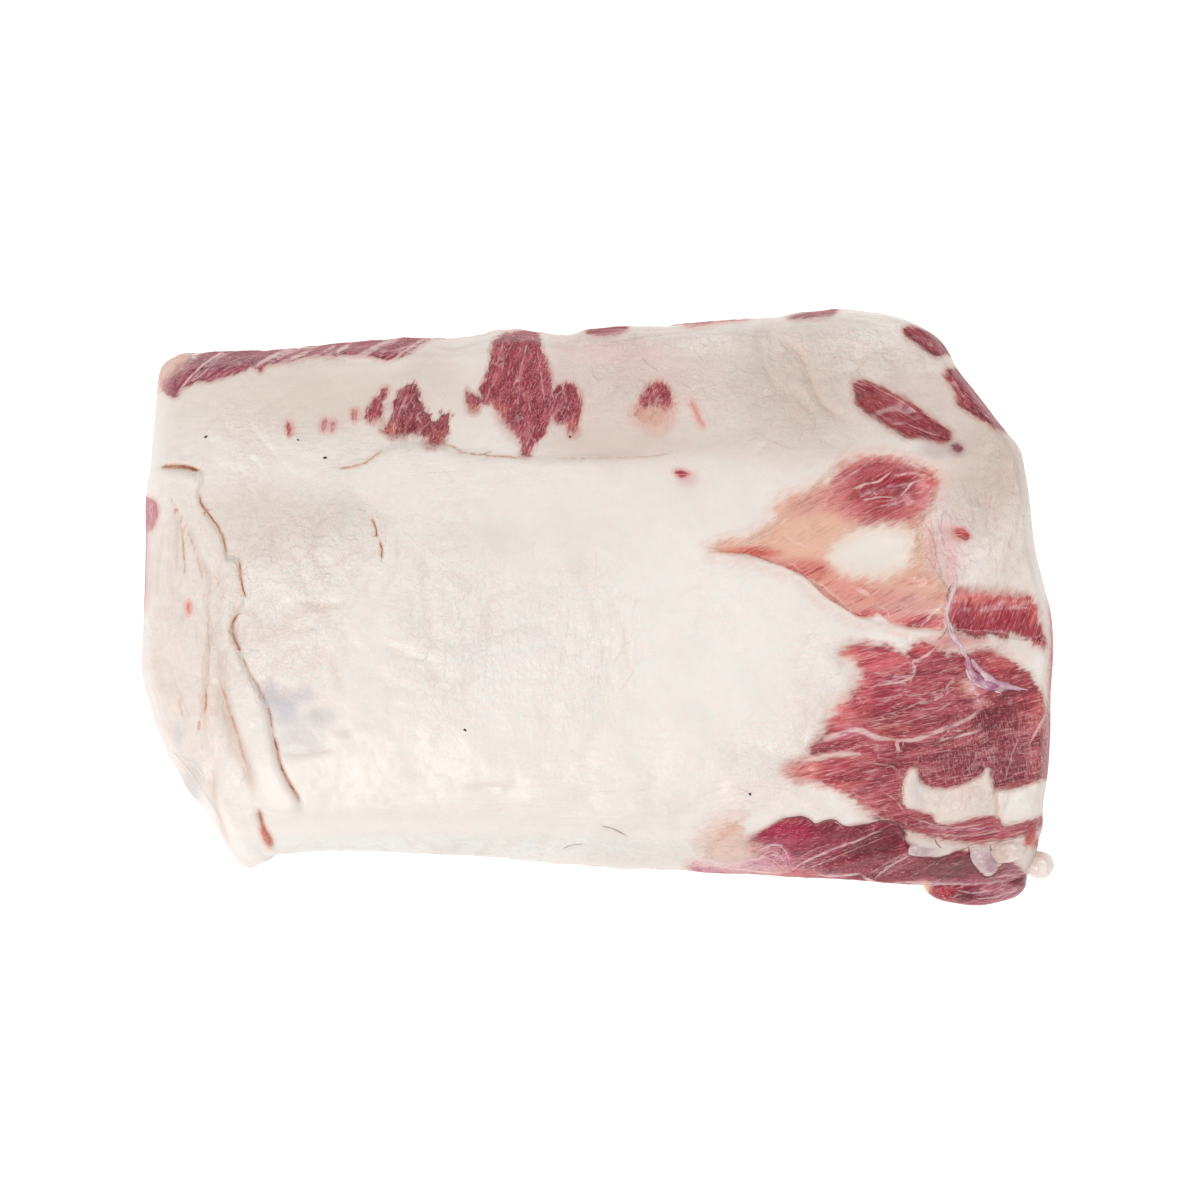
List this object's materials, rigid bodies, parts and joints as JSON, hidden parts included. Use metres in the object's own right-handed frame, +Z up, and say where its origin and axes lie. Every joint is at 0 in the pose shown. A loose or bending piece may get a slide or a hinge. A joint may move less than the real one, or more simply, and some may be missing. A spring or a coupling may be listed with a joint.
{
  "type": "raw pork rack",
  "caption": "Whole raw rack of pork, bone in, lying fat side up: a thick slab of loin and ribs under white fat, with bare lean and gristle at the shoulder end.",
  "frame": {"origin": "middle of the box on the plane that the rack rests on, under its ribs", "axes": "+X from the loin end to the shoulder end, +Y from the spine's edge to the cut rib ends, +Z up out of the fat side"},
  "size_m": [0.3826, 0.2514, 0.0808],
  "materials": {
    "raw_meat": null,
    "gristle": null
  },
  "bodies": {
    "root": {"pork_rack": "raw_meat", "gristle_tip_1": "gristle", "gristle_tip_2": "gristle", "gristle_tip_3": "gristle"}
  },
  "joints": []
}
